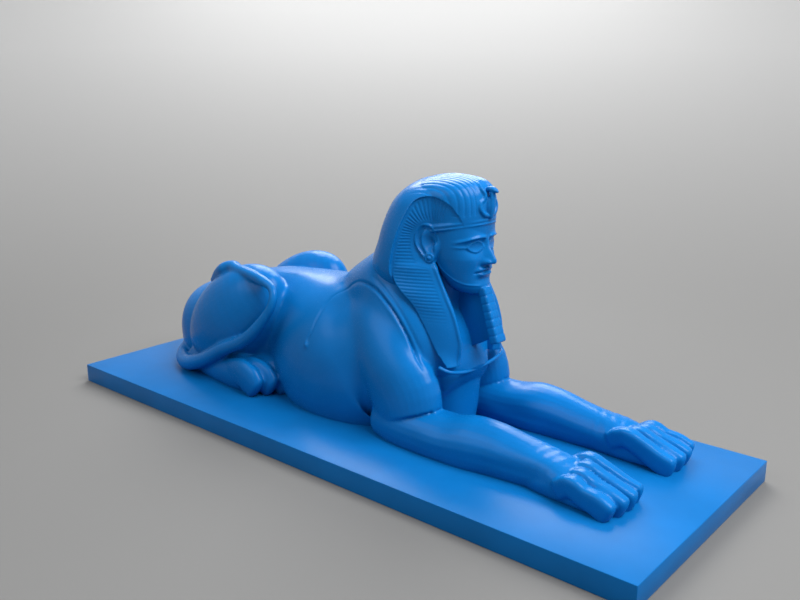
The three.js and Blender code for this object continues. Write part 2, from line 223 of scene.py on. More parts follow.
def limb(stations, around=24, steps=40, square=2.0, ends=(6, 6), side=None, turn=0.5):
    """Rounded sections carried along the smooth path through stations of
    [x, y, z, half width, half height]. Each section stands square to the path, its width
    level unless a side is named, and each end of length e closes as a quarter ellipse."""
    path = through(stations, steps + 1)
    centre, size = path[:, :3], path[:, 3:5]
    tangent = np.gradient(centre, axis=0)
    tangent /= np.linalg.norm(tangent, axis=1)[:, None]
    for end, length in ((0, ends[0]), (-1, ends[1])):
        if length > 0:
            lean = np.radians([84.0, 66.0, 48.0, 30.0, 14.0])
            outward = -1 if end == 0 else 1
            cap_centre = centre[end] + outward * tangent[end] * length * np.sin(lean)[:, None]
            cap_size = size[end] * np.cos(lean)[:, None]
            cap_tangent = np.repeat(tangent[end][None], len(lean), 0)
            if end == 0:
                centre = np.vstack([cap_centre, centre])
                size = np.vstack([cap_size, size])
                tangent = np.vstack([cap_tangent, tangent])
            else:
                centre = np.vstack([centre, cap_centre[::-1]])
                size = np.vstack([size, cap_size[::-1]])
                tangent = np.vstack([tangent, cap_tangent])
    if side is None:
        across = np.cross([0.0, 0.0, 1.0], tangent)
    else:
        across = np.repeat(np.array([side], float), len(tangent), 0)
    across -= tangent * np.einsum("ij,ij->i", across, tangent)[:, None]
    across /= np.linalg.norm(across, axis=1)[:, None]
    above = np.cross(tangent, across)
    c, s = rounded(2 * np.pi * (np.arange(around) + turn) / around, square)
    wide = (size[:, :1] * c)[:, :, None] * across[:, None, :]
    high = (size[:, 1:] * s)[:, :, None] * above[:, None, :]
    return skin(centre[:, None, :] + wide + high)


def egg(at, size, tilt=0.0, around=48, rows=30):
    """A ball with three half sizes, its poles fore and aft, turned front end up by tilt
    degrees about the crosswise axis and then placed."""
    pole = 0.02  # how near to a pole, in radians, the last ring comes
    lean = np.linspace(pole, np.pi - pole, rows)[:, None]
    turn = 2 * np.pi * np.arange(around) / around
    ball = np.stack([
        size[0] * np.cos(lean) * np.ones_like(turn),
        size[1] * np.sin(lean) * np.cos(turn),
        size[2] * np.sin(lean) * np.sin(turn),
    ], axis=-1)
    c, s = np.cos(np.radians(tilt)), np.sin(np.radians(tilt))
    x = ball[..., 0] * c - ball[..., 2] * s
    z = ball[..., 0] * s + ball[..., 2] * c
    return skin(np.stack([x, ball[..., 1], z], axis=-1) + np.asarray(at, float))


def level_rings(rows, around, steps, square, rear=2.0):
    """Level rings through rows of [z, back x, widest x, half width, front x]: behind the
    widest line an ellipse of power rear, before it one of power square."""
    rows = through(rows, steps)
    z, back, wide, half, front = (rows[:, k, None] for k in range(5))
    angles = 2 * np.pi * np.arange(around) / around
    front_c, front_s = rounded(angles, square)
    rear_c, rear_s = rounded(angles, rear)
    ahead = np.cos(angles) > 0
    x = np.where(ahead, wide + (front - wide) * front_c, wide + (wide - back) * rear_c)
    y = half * np.where(ahead, front_s, rear_s)
    return skin(np.stack([x, y, z * np.ones_like(x)], axis=-1))


def tube(path, radius, around=12, steps=60, ends=(1.0, 1.0)):
    """A round cord of the given radius along the smooth path through the points."""
    path = np.asarray(path, float)
    sizes = np.full((len(path), 2), radius)
    ends = radius * ends[0], radius * ends[1]
    return limb(np.hstack([path, sizes]), around, steps, ends=ends)


# ---- the lion


def barrel():
    """Body: a long barrel with a deep belly, from rows of [x, top, bottom, half width]."""
    rows = np.array([
        [-221, 36, 8, 14],
        [-214, 50, -6, 28],
        [-202, 60, -14, 38],
        [-185, 68, -16, 44],
        [-150, 79, -18, 45],
        [-112, 88, -18, 42],
        [-88, 91, -18, 39],
        [-64, 93, -22, 49],
        [-42, 94, -30, 55],
        [-20, 96, -34, 57],
        [0, 97, -22, 56],
        [12, 96, -10, 53],
        [34, 90, -6, 45],
        [54, 76, -4, 33],
        [66, 56, 0, 24],
    ], float)
    x, top, bottom, half = rows.T
    stations = np.column_stack([x, 0 * x, (top + bottom) / 2, half, (top - bottom) / 2])
    return limb(stations, around=56, steps=52, square=2.25, ends=(5, 5), side=(0, 1, 0))


def mane():
    """Mane: a cape over the shoulders, rising to the nape and hanging to a point in front."""
    return level_rings([
        [38, 36, 60, 15, 77.6],
        [41.5, 16, 57, 25, 79],
        [46, 0, 50, 34, 79.6],
        [52, -14, 42, 40, 80],
        [61, -20, 38, 43, 79],
        [70, -24, 36, 44, 76.5],
        [79, -26, 34, 44, 72],
        [88, -36, 31, 43, 66],
        [96, -37, 27, 41, 60],
        [103, -29, 24, 39, 52],
        [109, -20, 21, 36.5, 46],
        [115, -11, 18, 31, 38],
        [119, -4, 16, 24, 32],
    ], around=96, steps=64, square=2.4, rear=1.5)


def shoulder_blade(side):
    """Shoulder blade: an egg in the hollow between the cape's rear and the back."""
    return egg((-17, side * 22, 72), (29, 16, 19))


def haunch(side):
    """Haunch: an egg of thigh leaning forward and up."""
    return egg((-131, side * 34, 50.5), (62.5, 26, 36), tilt=36, around=44, rows=22)


def hind_foot(side):
    """Hind foot: a long foot lying forward along the slab, with three blunt toes showing."""
    foot = limb([
        [-178, side * 42, 8, 8, 10],
        [-148, side * 45, 10, 11, 13],
        [-120, side * 47, 11, 12.5, 15.5],
        [-104, side * 48, 11, 12, 15],
    ], around=28, steps=24)
    toes = [
        limb([
            [-116 + 3 * i, side * (54.5 - 7.4 * i), 13, 4.6, 11],
            [-100 + 5 * i, side * (57 - 8.8 * i), 15.5, 5.3, 12],
            [-91 + 6 * i, side * (57.4 - 9.4 * i), 12.5, 5.4, 12.6],
            [-84.5 + 6.5 * i, side * (57.4 - 9.6 * i), 7.5, 5.0, 11],
        ], around=24, steps=24, square=2.2, ends=(0, 4))
        for i in range(3)
    ]
    return joined(foot, *toes)


def tail():
    """Tail: round the right rear corner, forward under the thigh, up and back over it."""
    return limb([
        [-200, 2, 20, 6, 6],
        [-207, -20, 13, 6, 6],
        [-199, -38, 9, 6.2, 6.2],
        [-186, -49, 7, 6.6, 6.6],
        [-168, -56, 9, 6.4, 6.4],
        [-144, -58, 18, 6, 6],
        [-121, -58, 31, 5.6, 5.6],
        [-98, -58, 42, 5.2, 5.2],
        [-83, -57, 53, 5, 5],
        [-71, -56, 66, 4.8, 4.8],
        [-64, -54, 79, 4.6, 4.6],
        [-68, -51, 88, 4.4, 4.4],
        [-81, -49, 91, 4.2, 4.2],
        [-100, -45, 92, 4, 4],
        [-120, -40, 92, 4.4, 4.4],
        [-131, -36, 92, 6, 5],
        [-140, -35, 89, 8, 6],
        [-150, -34, 84, 6, 5],
        [-160, -33, 77, 3, 3],
    ], around=16, steps=150, ends=(2, 4))


def arm(side):
    """Arm: a broad upper arm down to the elbow, then the foreleg along the slab."""
    upper = limb([
        [8, side * 22, 84, 14, 20],
        [14, side * 29, 76, 16, 25],
        [27, side * 34.5, 63, 18, 26],
        [39, side * 38, 48, 18.5, 26],
        [50, side * 39.5, 33, 17, 29],
        [56, side * 40, 19, 16, 26],
    ], around=32, steps=16, ends=(10, 0), side=(0, 1, 0))
    foreleg = limb([
        [34, side * 39, 10, 14, 14],
        [52, side * 39.5, 9.5, 17, 17],
        [74, side * 39.5, 9, 18, 17.2],
        [92, side * 39.5, 9.2, 18, 17.6],
        [109, side * 39, 10.5, 17.8, 19.8],
        [125, side * 38, 11, 16.2, 18.8],
        [141, side * 37.3, 10, 15, 17],
        [WRIST_X, side * 37, 9.5, 14.5, 14.6],
        [174, side * 38, 8.5, 15.5, 12.8],
        [188, side * 38, 6, 16, 10],
    ], around=26, steps=30, square=2.2, ends=(10, 0))
    return joined(upper, foreleg)


def toes(side):
    """Paw: a low palm and four long toes on it, each sloping from its knuckle to a blunt
    tip that stands on the slab; toe 0 is innermost."""
    palm = limb([
        [146, side * 37, 6, 11, 9],
        [160, side * 37.5, 6, 14, 10.4],
        [171, side * LEG_ASIDE, 6.5, 15.5, 11],
        [183, side * LEG_ASIDE, 5, 16.2, 9],
        [194, side * (LEG_ASIDE + 0.5), 3.5, 16.6, 6],
        [207, side * (LEG_ASIDE + 0.8), 1.5, 16, 4],
    ], around=32, steps=24, square=2.4, ends=(8, 4))
    made = [palm]
    half = TOE_HALF_WIDTH
    for i in range(4):
        aside = LEG_ASIDE + TOE_SPACING * (i - 1.45)
        splay = i - 1.5
        tip = PAW_TIP_X - 1.1 * (i - 1.2) ** 2
        length = 46 - 2.8 * i
        knuckle = 15.2 - 1.1 * i
        made.append(limb([
            [tip - length, side * (aside - 0.6 * splay), knuckle - 4.5, half - 1, 6],
            [tip - 0.77 * length, side * aside, knuckle + 1.0, half, 6.4],
            [tip - 0.54 * length, side * (aside + 0.2 * splay), knuckle - 2.2, half - 0.2, 6.6],
            [tip - 0.3 * length, side * (aside + 0.5 * splay), 7.8, half, 7.2],
            [tip - 4.5, side * (aside + 0.8 * splay), 4.6, half - 0.3, 7.4],
        ], around=32, steps=36, square=3.8, ends=(0, 3.0)))
    return joined(*made)


def chest():
    """Chest and neck, filling the space under the cape and between the lappets."""
    breast = level_rings([
        [-6, 30, 54, 20, 74.5],
        [12, 30, 55, 23, 76.5],
        [26, 28, 56, 24, 77.6],
        [38, 26, 56, 25, 78],
        [48, 26, 50, 27, 77],
        [60, 26, 44, 27, 72],
    ], around=64, steps=30, square=2.2, rear=1.5)
    neck = limb([
        [50, 0, 42, 26, 20],
        [50, 0, 66, 24, 18],
        [50, 0, 90, 20, 17],
        [52, 0, 112, 18, 18],
        [56, 0, 128, 18, 18],
    ], around=40, steps=24, ends=(0, 0), side=(0, 1, 0))
    return joined(breast, neck)


# ---- the head


def headcloth():
    """Headcloth: level rings of a hood, widest at the ears and closing over the crown."""
    return level_rings([
        [88, 14, 32, 26, 52],
        [101, 6, 34, 33, 54],
        [110, 1.5, 36, 38.5, 57],
        [118, 1.5, 38, 40.5, 58],
        [130, 6, 42, 40, 58],
        [140, 8.5, 45, 38.5, 60],
        [149, 11.5, 48, 36, 66],
        [156, 15, 50, 33.5, 72],
        [161, 18.5, 52, 31, 76],
        [166, 24, 54, 27, 78],
        [170, 30, 56, 22, 78],
        [173.5, 38, 58, 15, 76],
        [176, 50, 60, 7, 70],
    ], around=120, steps=90, square=1.7)


# The crown's rows of [z, back x, widest x, half width, front x], the last one first
# written as how far it lies behind the band's front
CROWN_ROWS = np.array([
    [138, 30, 60, 23, 2],
    [BAND_LEVEL, 24, 60, 25, 1],
    [156, 24, 58, 26, 0.5],
    [162, 26, 58, 26, 1],
    [167, 30, 58, 25, 2.5],
    [171, 35, 59, 22, 5],
    [174, 41, 60, 17, 9],
    [176, 48, 60, 10, 15],
    [177, 54, 60, 5, 22],
])
CROWN_ROWS[:, 4] = BAND_FRONT_X - CROWN_ROWS[:, 4]


def crown():
    """Crown of the head under the cloth, in front of the side folds."""
    return level_rings(CROWN_ROWS, around=120, steps=70, square=2.1)


# A side fold's edge as seen from the side, [x, z], from its foot up round the ear to the brow
FOLD_CREST = 9  # the row where it starts to run forward over the crown
FOLD_EDGE = np.array([
    [38.2, 106], [37.6, 112], [37.7, 118], [38.6, 124],
    [39.7, 130], [41.1, 136], [42.6, 142], [44.4, 148],
    [46.8, 154.3], [49.6, 160.6], [54.6, 164], [61.1, 164.6],
    [66.8, 163.3], [72.3, 160.6], [76.3, 156.4], [78.6, 152.6],
    [80.4, 148.6],
])


def crown_side(x, z):
    """Half the crown's width at a place: half (1 - k^2.1)^(1/2.1), k the share of the way
    from its widest line to its front."""
    z_row, wide_row, half_row, front_row = (CROWN_ROWS[:, k] for k in (0, 2, 3, 4))
    wide = np.interp(z, z_row, wide_row)
    half = np.interp(z, z_row, half_row)
    front = np.interp(z, z_row, front_row)
    k = np.clip((x - wide) / (front - wide), 0, 0.999)
    return half * (1 - k ** 2.1) ** (1 / 2.1)


def side_pit(side):
    """The hollow that a side fold opens round the ear: the fold's edge closed off in front
    of the face, drawn in step by step to its middle for the floor, which lies 1.5 mm under
    the crown's side in front and 21 mm from the middle plane behind."""
    low_front = [[84, 140], [98, 138], [106, 120], [104, 98], [84, 92], [62, 92], [46, 97]]
    rim = through(np.vstack([FOLD_EDGE, low_front, FOLD_EDGE[:1]]), 140)[:-1]
    middle_x, middle_z = 62, 134
    share = np.linspace(0.03, 1.0, 34)[:, None]
    x = middle_x + (rim[:, 0] - middle_x) * share
    z = middle_z + (rim[:, 1] - middle_z) * share
    behind = fade(58 - x, 0, 8)
    floor_y = (crown_side(x, z) - 1.5) * (1 - behind) + 21 * behind
    floor_y = np.where(z < 140, np.minimum(floor_y, 21.5), floor_y)
    grow = np.array([1.0, 1.02, 1.1])[:, None]
    wall_y = np.array([30.0, 40.0, 60.0])[:, None]
    wall_x = middle_x + (rim[:, 0] - middle_x) * grow
    wall_z = middle_z + (rim[:, 1] - middle_z) * grow
    x = np.vstack([x, wall_x])
    z = np.vstack([z, wall_z])
    y = side * np.vstack([floor_y, wall_y * np.ones_like(wall_x)])
    return skin(np.stack([x, y, z], axis=-1))


# The face's rows of [z, middle x, half width, front x]
FACE_ROWS = np.array([
    [98.5, 78, 4, 82],
    [100.5, 76, 9, 84.5],
    [104, 73, 13, 85.5],
    [109, 70, 16, 85.8],
    [116, 66, 18.6, 86.6],
    [124, FACE_MIDDLE_X, 20.6, 86.8],
    [132, FACE_MIDDLE_X, FACE_HALF_WIDTH, 86.4],
    [140, FACE_MIDDLE_X, 22, 87.4],
    [150, FACE_MIDDLE_X, 22, 87.4],
])


def eye_relief(side, z):
    """One eye seen from the front: a ball in an almond opening, a raised lid line round it,
    a drawn-out outer corner and the brow's arched strip above."""
    a = side - EYE_ASIDE
    b = z - EYE_LEVEL + 0.05 * a
    almond = 2.7 * np.clip(1 - (a / 5.4) ** 2, 0, 1) ** 0.8
    edge = np.abs(b) - almond
    inside = fade(-edge, -0.25, 0.35) * fade(5.6 - np.abs(a), 0, 0.6)
    socket = -2.6 * bell(a, 6.6) * bell(b - 0.4, 4.4)
    ball = inside * (1.0 + 1.1 * bell(a, 4.2) * bell(b, 2.6))
    lid = 1.6 * bell(edge - 0.6, 0.62) * fade(6.6 - np.abs(a), 0, 1.2)
    corner = 1.0 * bell(b + 0.1 - 0.06 * (a - 5), 0.7)
    corner = corner * fade(a, 4.6, 6.0) * fade(13.0 - a, 0, 3)
    arch = b - 6.2 + 0.020 * (a + 0.5) ** 2
    brow = 1.5 * bell(arch, 1.05) * fade(a, -7.6, -5.4) * fade(12.6 - a, 0, 3)
    shelf = 0.9 * bell(arch + 0.4, 3.0) * bell(a, 9)
    return socket + ball + lid + corner + brow + shelf


def face_relief(side, z):
    """How far the face stands forward of its plain rounded mask at a place: the sum of the
    swellings and hollows of eyes, nose, mouth, cheeks and chin."""
    rise = fade(EYE_LEVEL - z, -6, 9.5)
    under = fade(z, EYE_LEVEL - 13.2, EYE_LEVEL - 11.2)
    bridge = (1.0 + 6.4 * rise) * under * fade(EYE_LEVEL - z, -9, -3)
    bridge = bridge * bell(side, 1.8 + 2.0 * rise)
    tip = 0.9 * bell(side, 2.6) * bell(z - EYE_LEVEL + NOSE_DROP, 2.2)
    wings = 2.9 * bell(side - 3.9, 1.55) * bell(z - EYE_LEVEL + 10.3, 1.75)
    nostrils = -0.9 * bell(side - 1.9, 0.8) * bell(z - EYE_LEVEL + 12.0, 0.7)
    furrow = -0.5 * bell(side - 7.4 - 0.28 * (EYE_LEVEL - 11 - z), 1.1) * bell(z - 118.5, 4.5)
    bow = 0.5 * bell(side - 2.2, 1.6)
    upper_lip = (1.7 + bow) * bell(z - UPPER_LIP + 0.010 * side ** 2, 1.35)
    upper_lip = upper_lip * fade(9.8 - side, 0, 4.4)
    lower_lip = 1.9 * bell(z - LOWER_LIP - 0.014 * side ** 2, 1.6) * fade(8.6 - side, 0, 4.0)
    parting = -1.5 * bell(z - LIP_PARTING + 0.010 * side ** 2, 0.5) * fade(10.2 - side, 0, 2.4)
    philtrum = -0.45 * bell(side, 0.9) * bell(z - 119.6, 1.4)
    hollow = -0.7 * bell(side, 7) * bell(z - CHIN_DIP, 1.5)
    chin = 1.7 * bell(side, 6.5) * bell(z - CHIN_LEVEL, 3.4)
    cheek = 1.0 * bell(side - 12, 5) * bell(z - CHEEK_LEVEL, 6)
    temple = -0.8 * bell(side - 19, 3) * bell(z - 138, 6)
    nose = bridge + tip + wings + nostrils
    mouth = upper_lip + lower_lip + parting + philtrum + furrow + hollow
    return eye_relief(side, z) + nose + mouth + chin + cheek + temple


def face():
    """Face: level rings, each the curve reach (1 - k^2.3)^(1/2.3) from the middle line to
    the side, with the relief laid on along x and the back left plain inside the head."""
    z = np.linspace(98.5, 152.0, FACE_ROWS_MADE)[:, None]
    middle, half, front = (np.interp(z, FACE_ROWS[:, 0], FACE_ROWS[:, k]) for k in (1, 2, 3))
    turn = np.linspace(-np.pi / 2, np.pi / 2, FACE_COLUMNS_MADE)
    k = np.sin(turn * 0.985)
    reach = (front - middle) * (1 - np.abs(k) ** 2.3) ** (1 / 2.3)
    y = half * k
    x = middle + reach + face_relief(np.abs(y), z) * fade(reach, 0.5, 6.0)
    mask = np.stack([x, y, z * np.ones_like(x)], axis=-1)
    back_k = np.array([1.0, 0.7, 0.0, -0.7, -1.0])
    back_x = middle - np.array([4.0, 12.0, 14.0, 12.0, 4.0])
    back = np.stack([back_x, half * back_k, z * np.ones_like(back_x)], axis=-1)
    return skin(np.concatenate([mask, back], axis=1))


def headband():
    """Headband: a soft ridge over a narrow lip, falling from the brow to the ears by
    BAND_FALL of the way back."""
    z = np.linspace(BAND_LOW, BAND_LOW + 5.4, 30)
    proud = 1.1 * bell(z - BAND_LOW - 0.8, 0.8) + 1.2 * bell(z - BAND_LOW - 3.3, 1.5) - 0.5
    rows = np.column_stack([z, 0 * z + 28, 0 * z + 60, 23.6 + proud, BAND_FRONT_X - 1 + proud])
    points, triangles = level_rings(rows, around=140, steps=30, square=2.1)
    points[:, 2] += BAND_FALL * (points[:, 0] - BAND_FRONT_X)
    return points, triangles


def ear(side):
    """Ear: a disc drawn to an outline that is broad above and narrows to the lobe, lying
    flush with the cheek in front and standing out behind, its face raised into a rolled
    rim, hollowed to a bowl with an inner fold, a flap in front and a pierced lobe."""
    around = 96
    angle = 2 * np.pi * np.arange(around) / around
    share = np.linspace(0.04, 1.0, 34)[:, None]
    forward, upward = rounded(angle, 2.25)
    b = share * upward * 13.8
    a = share * forward * 7.9
    rim = 1.5 * bell(share - 0.9, 0.09) * fade(upward + 0.35 * (forward < 0), -0.75, -0.2)
    rim = rim * (1 - 0.75 * fade(forward, 0.25, 0.7) * fade(0.75 - upward, 0, 0.3))
    bowl = -3.4 * bell(np.hypot(a - 1.6, (b - 0.5) / 1.5), 2.7)
    hollow = -1.0 * bell(share - 0.66, 0.13) * fade(upward, -0.2, 0.3)
    from_fold = np.hypot((a - 1.2) / 0.95, (b - 0.6) / 1.9) - 4.4
    fold = 1.0 * bell(from_fold, 1.0) * fade(3.4 - a, 0, 3)
    flap = 1.6 * bell(a - 5.2, 1.5) * bell(b + 2.0, 3.6)
    lobe = 0.9 * bell(a - 0.4, 5.0) * bell(b + 10.4, 3.4)
    out = rim + bowl + hollow + fold + flap + lobe - 0.9 * fade(share, 0.95, 1.0)
    wall = [(1.0, -2.0), (0.97, -4.5), (0.92, -8.0)]
    a = np.vstack([a] + [a[-1:] * grow for grow, _ in wall])
    b = np.vstack([b] + [b[-1:] * grow for grow, _ in wall])
    out = np.vstack([out] + [np.full((1, around), level) for _, level in wall])
    narrow = 0.40 + 0.60 * fade(b, -13.5, 1.0)
    x = EAR_AT[0] + a * narrow + 1.5 * fade(-b, -4.0, 13.0) - 0.08 * b
    z = EAR_AT[2] + b
    y = side * (EAR_AT[1] + out - 0.40 * a * narrow)
    disc = skin(np.stack([x, y, z], axis=-1))
    stud_at = (EAR_AT[0] + 2.2, side * (EAR_AT[1] + 0.9), EAR_AT[2] - 9.4)
    stud = egg(stud_at, (1.5, 1.4, 1.5), around=24, rows=14)
    beads = 24
    ring_turn = np.linspace(0, 2 * np.pi, beads + 1)[:-1]
    ring_path = np.column_stack([
        stud_at[0] + 2.5 * np.cos(ring_turn),
        np.full(beads, stud_at[1] - side * 0.1) - side * 0.9 * np.cos(ring_turn),
        stud_at[2] + 2.7 * np.sin(ring_turn),
    ])
    ring_size = np.full((beads + 1, 2), 0.62)
    ring = limb(
        np.hstack([np.vstack([ring_path, ring_path[:1]]), ring_size]),
        around=10, steps=72, ends=(0, 0), side=(0, 1, 0),
    )
    return joined(disc, stud, ring)


# The lappet's rows of [z, outer x, outer y, inner x, inner y]
LAPPET_ROWS = np.array([
    [164.5, 56, 26.5, 62, 24.8],
    [160, 50, 29.6, 61.5, 24.5],
    [154, 47, 32.2, 61, 24.4],
    [148, 44.6, 34.2, 60, 23.6],
    [142, 42.8, 35.6, 57, 22.4],
    [136, 41.3, 36.6, 56, 22],
    [130, 39.8, 37.2, 57, 22.5],
    [124, 38.7, 37.5, 60, 23.3],
    [118, 38.0, 37.7, 64, 24],
    [112, 38.2, 37.9, 67, 24],
    [107, 40.2, 38, 69.6, 24],
    [101, 46, 37.6, 73, 24],
    [94, 53, 35.6, 77, 24],
    [88, 57, 34.4, 80, 24],
    [79, 62.8, 33.8, 83.2, 23.7],
    [71, 67.5, 33.2, 85, 23],
    [65, 71, 32.8, 84.8, 22.8],
    [59, 76, 32.4, 83.6, 22.3],
    [54.5, 80, 32, 83.3, 22],
])


def lappet(side):
    """Lappet: one sheet of cloth from inside the side fold down to the chest. Across each
    row of [z, outer x, outer y, inner x, inner y] its face bows a little and, below the
    ear, ends in a narrow raised border along the inner edge."""
    rows = through(LAPPET_ROWS[::-1], 260)
    z, out_x, out_y, in_x, in_y = (rows[:, k, None] for k in range(5))
    share = np.linspace(0, 1, 40)
    below_ear = fade(122 - z, 0, 5)
    bow = 1.5 * np.sin(np.pi * share) ** 0.8 * below_ear
    width = np.hypot(in_x - out_x, in_y - out_y)
    from_edge = (1 - share) * width
    border = 0.75 * fade(2.6 - from_edge, 0, 0.5) * fade(from_edge + 0.6, 0, 0.8) * below_ear
    proud = bow + border
    x = out_x + (in_x - out_x) * share + proud
    y = side * (out_y + (in_y - out_y) * share + 0.6 * proud)
    face_rows = np.stack([x, y, z * np.ones_like(x)], axis=-1)
    rear_x = np.hstack([in_x - 2, in_x - 10, out_x - 5])
    rear_y = side * np.hstack([in_y - 3.5, in_y - 4, out_y - 10])
    rear_z = np.hstack([z, z, z])
    rear = np.stack([rear_x, rear_y, rear_z], axis=-1)
    return skin(np.concatenate([face_rows, rear], axis=1))


def collar():
    """Collar: a raised cord hanging across the breast."""
    return tube([
        [76, -34, 54],
        [80.6, -31, 51.6],
        [83, -25, 50],
        [82.4, -13, 47.4],
        [81.4, 0, 46.2],
        [82.4, 13, 47.4],
        [83, 25, 50],
        [80.6, 31, 51.6],
        [76, 34, 54],
    ], 1.3, around=14, steps=90)


# The middle of the beard's block at its top and foot, [x, z]
BEARD_TOP = np.array([86.0, 104.0])
BEARD_FOOT = np.array([98.4, 68.0])


def beard():
    """Beard: a tapering block of stacked rows, each row grooved into columns of beads, on a
    thin wall that joins it to the throat."""
    share = np.linspace(0.0, 1.0, 170)[:, None]
    row = share * BEARD_ROWS
    bulge = 1 - np.abs(2 * (row - np.floor(np.clip(row, 0, BEARD_ROWS - 1e-6))) - 1) ** 6
    around = 96
    c, s = rounded(2 * np.pi * np.arange(around) / around, 6.0)
    deep = 2.9 + 0.6 * share
    half = 4.3 + 1.2 * share
    across = s * half
    columns = 1 - np.abs(2 * ((across / half + 1) * 1.5 % 1) - 1) ** 6
    on_front = fade(c, 0.6, 0.9)
    proud = 0.55 * bulge - 0.55 + 0.5 * (columns - 1) * on_front
    x = BEARD_TOP[0] + (BEARD_FOOT[0] - BEARD_TOP[0]) * share + c * (deep + proud)
    y = s * (half + 0.55 * (bulge - 1))
    z = BEARD_TOP[1] + (BEARD_FOOT[1] - BEARD_TOP[1]) * share + 0.35 * c * (deep + proud)
    block = skin(np.stack([x, y, z], axis=-1))
    corners = np.array([[58, 108], [84, 108], [95.5, 71], [66, 55.5]], float)
    wall = skin(np.stack([
        np.column_stack([corners[:, 0], np.full(4, wall_y), corners[:, 1]])
        for wall_y in (-2.4, 2.4)
    ]))
    return joined(block, wall)


def cobra():
    """Cobra on the brow: a looped body on each side, a spread hood and a lifted head."""
    front = BAND_FRONT_X
    hood = egg((front - 0.6, 0, 158.5), (2.6, 3.9, 7.0), tilt=-6, around=40, rows=24)
    throat = limb([
        [front + 0.3, 0, 151.5, 1.9, 1.4],
        [front + 1.2, 0, 157, 2.4, 1.5],
        [front + 1.4, 0, 163, 2.6, 1.5],
        [front + 1.2, 0, 168, 2.0, 1.6],
    ], around=20, steps=30, ends=(1, 1), side=(0, 1, 0))
    head = limb([
        [front - 2.5, 0, 169.3, 1.8, 1.7],
        [front + 0.6, 0, 169.6, 2.5, 1.9],
        [front + 3.4, 0, 168.8, 1.9, 1.4],
        [front + 4.6, 0, 168.2, 1.1, 1.0],
    ], around=20, steps=24, ends=(1, 1))

    def loop(side):
        """A cord that leaves the band, swings out beside the hood and runs back over it."""
        return tube([
            [front - 0.6, side * 1.5, 152.5],
            [front - 0.9, side * 5.5, 153.5],
            [front - 1.8, side * 8.6, 157.0],
            [front - 2.4, side * 8.2, 161.0],
            [front - 2.2, side * 5.2, 163.0],
            [front - 1.8, side * 4.0, 166.0],
            [front - 4.0, side * 5.2, 169.6],
            [front - 7.5, side * 4.0, 172.0],
            [front - 10.0, side * 1.2, 173.6],
        ], 1.35, around=14, steps=90)

    return joined(hood, throat, head, pair(loop))


# ---- mesh work


def new_object(name, form):
    """An object whose mesh holds the form, moved to its place on the slab, in metres."""
    points, triangles = form
    mesh = bpy.data.meshes.new(name)
    mesh.vertices.add(len(points))
    mesh.vertices.foreach_set("co", ((points + FIGURE_ORIGIN) * MM).astype(np.float32).ravel())
    mesh.loops.add(triangles.size)
    mesh.loops.foreach_set("vertex_index", triangles.astype(np.int32).ravel())
    mesh.polygons.add(len(triangles))
    mesh.polygons.foreach_set("loop_start", np.arange(0, triangles.size, 3, dtype=np.int32))
    mesh.update(calc_edges=True)
    piece = bpy.data.objects.new(name, mesh)
    bpy.context.scene.collection.objects.link(piece)
    return piece


def carry_out(piece):
    """Replaces the piece's mesh by what its modifiers make of it."""
    evaluated = piece.evaluated_get(bpy.context.evaluated_depsgraph_get())
    mesh = bpy.data.meshes.new_from_object(evaluated)
    piece.modifiers.clear()
    piece.data = mesh


def boolean(piece, other, operation):
    """Joins the other object to the piece, or cuts it away, and removes the other."""
    modifier = piece.modifiers.new("boolean", "BOOLEAN")
    modifier.operation = operation
    modifier.solver = "MANIFOLD"
    modifier.object = other
    carry_out(piece)
    bpy.data.objects.remove(other)


def fuse(piece, voxel):
    """Makes one skin of the piece's overlapping forms, with cells of the given size."""
    modifier = piece.modifiers.new("fuse", "REMESH")
    modifier.mode = "VOXEL"
    modifier.voxel_size = voxel * MM
    carry_out(piece)


def points_of(mesh):
    """The mesh's points in the figure's own frame, in millimetres."""
    points = np.empty(len(mesh.vertices) * 3, np.float32)
    mesh.vertices.foreach_get("co", points)
    return points.reshape(-1, 3).astype(float) / MM - FIGURE_ORIGIN


def normals_of(mesh):
    """The unit normals at the mesh's points."""
    normals = np.empty(len(mesh.vertices) * 3, np.float32)
    mesh.vertices.foreach_get("normal", normals)
    return normals.reshape(-1, 3).astype(float)


def place_points(mesh, points):
    """Moves the mesh's points to places given in the figure's own frame, in millimetres."""
    placed = ((points + FIGURE_ORIGIN) * MM).astype(np.float32)
    mesh.vertices.foreach_set("co", placed.ravel())
    mesh.update()


def soften(mesh, points, weight, rounds, shrink=0.0):
    """Moves each point by its weight towards the mean of its neighbours, round after round;
    after each round a step back of (STEP_BACK - shrink) keeps the form from shrinking."""
    ends = np.empty(len(mesh.edges) * 2, np.int32)
    mesh.edges.foreach_get("vertices", ends)
    a, b = ends.reshape(-1, 2).T
    count = np.bincount(a, minlength=len(points)) + np.bincount(b, minlength=len(points))

    def pull():
        """From each point to the mean of its neighbours."""
        total = np.stack([
            np.bincount(a, points[b, k], len(points)) + np.bincount(b, points[a, k], len(points))
            for k in range(3)
        ], axis=1)
        return total / count[:, None] - points

    weight = np.broadcast_to(np.asarray(weight, float), (len(points),))[:, None]
    for _ in range(rounds):
        points = points + SOFTEN_STEP * weight * pull()
        if shrink < STEP_BACK:
            points = points - (STEP_BACK - shrink) * weight * pull()
    return points


def nearness(points, path):
    """Each point's distance to a chain of straight stretches, in as many dimensions as the
    path has, and how far along the chain the nearest place is, from 0 to 1."""
    path = np.asarray(path, float)
    best = np.full(len(points), np.inf)
    along = np.zeros(len(points))
    for i in range(len(path) - 1):
        step = path[i + 1] - path[i]
        t = np.clip((points - path[i]) @ step / (step @ step), 0, 1)
        distance = np.linalg.norm(points - path[i] - t[:, None] * step, axis=1)
        closer = distance < best
        best = np.where(closer, distance, best)
        along = np.where(closer, (i + t) / (len(path) - 1), along)
    return best, along


